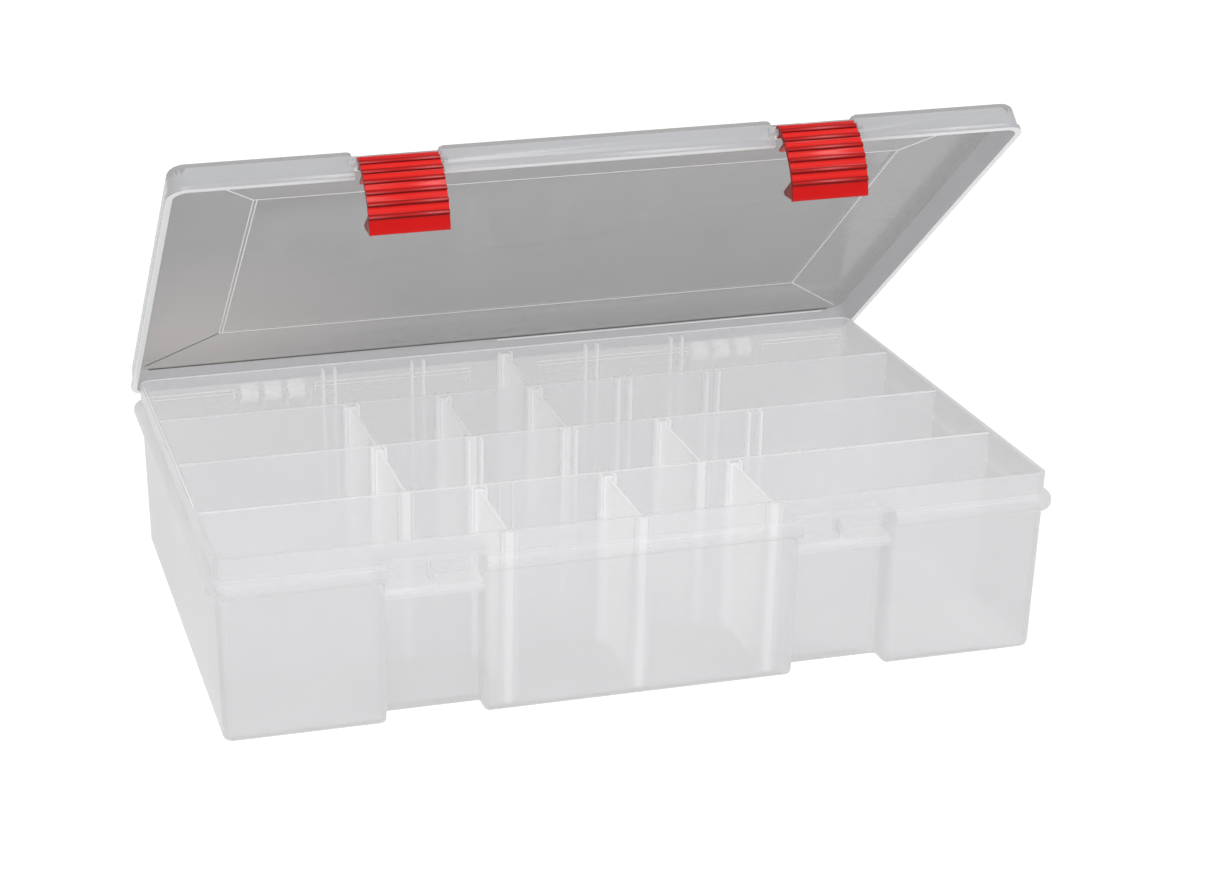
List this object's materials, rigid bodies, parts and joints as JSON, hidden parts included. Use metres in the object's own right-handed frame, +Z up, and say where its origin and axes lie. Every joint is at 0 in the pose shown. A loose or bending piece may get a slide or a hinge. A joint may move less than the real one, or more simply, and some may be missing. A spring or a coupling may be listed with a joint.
{
  "type": "tackle box",
  "caption": "Clear plastic tackle box with a hinged lid, two red snap latches, three fixed long walls and removable cross dividers in slots.",
  "frame": {"origin": "centre of the tray's underside, where the box stands", "axes": "+X along the long front to the right, +Y from the latches to the hinges, +Z up"},
  "size_m": [0.352, 0.2282, 0.2181],
  "materials": {
    "clear_pp": "translucent, lightly frosted",
    "lid_pp": "translucent, lightly frosted",
    "red_pp": "translucent, glossy"
  },
  "bodies": {
    "tray": {"tray": "clear_pp"},
    "lid": {"lid": "lid_pp"},
    "latch_left": {"latch_left": "red_pp"},
    "latch_right": {"latch_right": "red_pp"},
    "divider_row1_slot3": {"divider_row1_slot3": "clear_pp"},
    "divider_row2_slot1": {"divider_row2_slot1": "clear_pp"},
    "divider_row2_slot2": {"divider_row2_slot2": "clear_pp"},
    "divider_row2_slot3": {"divider_row2_slot3": "clear_pp"},
    "divider_row3_slot1": {"divider_row3_slot1": "clear_pp"},
    "divider_row3_slot4": {"divider_row3_slot4": "clear_pp"},
    "divider_row4_left": {"divider_row4_left": "clear_pp"},
    "divider_row4_middle": {"divider_row4_middle": "clear_pp"},
    "divider_row4_right": {"divider_row4_right": "clear_pp"}
  },
  "joints": [
    {"name": "lid_hinge", "type": "hinge", "parent": "tray", "child": "lid", "pos_m": [0, 0.1101, 0.0656], "axis": [-1, 0, 0], "range_deg": [-40, 140]},
    {"name": "latch_left_pivot", "type": "hinge", "parent": "lid", "child": "latch_left", "pos_m": [-0.0855, -0.05087, 0.21477], "axis": [-1, 0, 0], "range_deg": [0, 95]},
    {"name": "latch_right_pivot", "type": "hinge", "parent": "lid", "child": "latch_right", "pos_m": [0.0855, -0.05087, 0.21477], "axis": [-1, 0, 0], "range_deg": [0, 95]},
    {"name": "divider_row1_slot3_lift", "type": "slide", "parent": "tray", "child": "divider_row1_slot3", "axis": [0, 0, 1], "range_m": [0, 0.012]},
    {"name": "divider_row2_slot1_lift", "type": "slide", "parent": "tray", "child": "divider_row2_slot1", "axis": [0, 0, 1], "range_m": [0, 0.055]},
    {"name": "divider_row2_slot2_lift", "type": "slide", "parent": "tray", "child": "divider_row2_slot2", "axis": [0, 0, 1], "range_m": [0, 0.055]},
    {"name": "divider_row2_slot3_lift", "type": "slide", "parent": "tray", "child": "divider_row2_slot3", "axis": [0, 0, 1], "range_m": [0, 0.055]},
    {"name": "divider_row3_slot1_lift", "type": "slide", "parent": "tray", "child": "divider_row3_slot1", "axis": [0, 0, 1], "range_m": [0, 0.074]},
    {"name": "divider_row3_slot4_lift", "type": "slide", "parent": "tray", "child": "divider_row3_slot4", "axis": [0, 0, 1], "range_m": [0, 0.074]},
    {"name": "divider_row4_left_lift", "type": "slide", "parent": "tray", "child": "divider_row4_left", "axis": [0, 0, 1], "range_m": [0, 0.074]},
    {"name": "divider_row4_middle_lift", "type": "slide", "parent": "tray", "child": "divider_row4_middle", "axis": [0, 0, 1], "range_m": [0, 0.074]},
    {"name": "divider_row4_right_lift", "type": "slide", "parent": "tray", "child": "divider_row4_right", "axis": [0, 0, 1], "range_m": [0, 0.074]}
  ]
}
